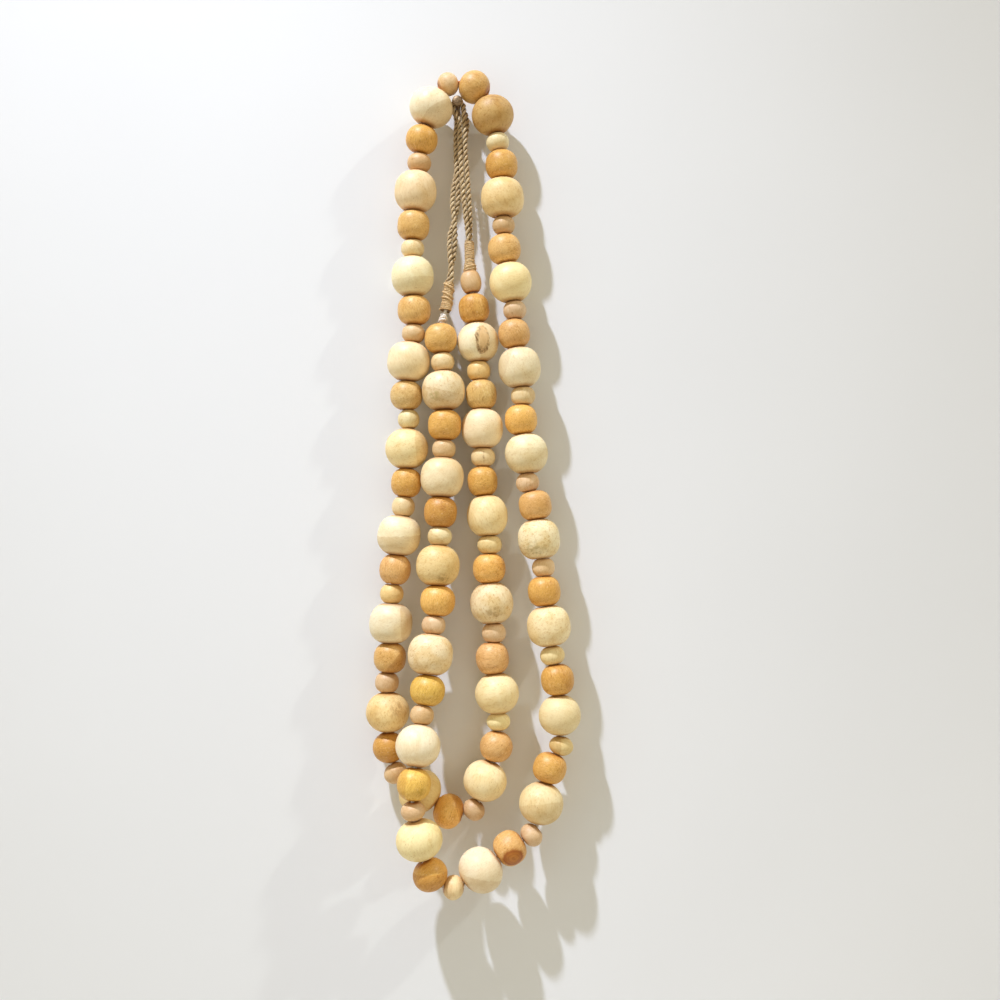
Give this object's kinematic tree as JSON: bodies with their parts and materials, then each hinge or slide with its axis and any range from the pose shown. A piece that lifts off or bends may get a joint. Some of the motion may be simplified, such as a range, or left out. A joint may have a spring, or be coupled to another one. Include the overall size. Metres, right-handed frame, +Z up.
{
  "type": "wooden bead garland on a nail",
  "caption": "Strand of turned wooden beads in a small, medium, large pattern with a jute hanging loop at each end, hung doubled over a round-headed nail.",
  "frame": {"origin": "the nail's axis where it enters the wall's surface", "axes": "+Z up, +Y into the wall along the nail, +X to the right as seen from the front; the wall's surface is the plane y = 0"},
  "size_m": [0.1237, 0.069, 0.4804],
  "materials": {
    "bead_large": "satin, pale natural wood",
    "bead_medium": "satin, light amber wood",
    "bead_small": "satin, pinkish beige wood",
    "jute": "twisted natural jute, hairy",
    "string": "matt cotton string",
    "steel": "dull grey steel"
  },
  "bodies": {
    "root": {"repeat_01": "bead_large", "repeat_02": "bead_large", "repeat_03": "bead_large", "repeat_04": "bead_large", "repeat_05": "bead_large", "repeat_06": "bead_large", "repeat_07": "bead_large", "repeat_08": "bead_large", "repeat_09": "bead_large", "repeat_10": "bead_large", "repeat_11": "bead_large", "repeat_12": "bead_large", "repeat_13": "bead_large", "repeat_14": "bead_large", "repeat_15": "bead_large", "repeat_16": "bead_large", "repeat_17": "bead_large", "repeat_18": "bead_large", "repeat_19": "bead_large", "repeat_20": "bead_large", "repeat_21": "bead_large", "repeat_22": "bead_large", "repeat_23": "bead_large", "repeat_24": "bead_large", "repeat_25": "bead_large", "repeat_26": "bead_large", "repeat_27": "bead_large", "repeat_28": "bead_large", "repeat_29": "bead_large", "repeat_30": "bead_large", "repeat_31": "bead_large", "repeat_32": "bead_large", "nail": "steel", "jute_loop_a": "jute", "jute_loop_b": "jute", "whipping_a": "jute", "whipping_b": "jute", "string_knot": "string"}
  },
  "joints": []
}
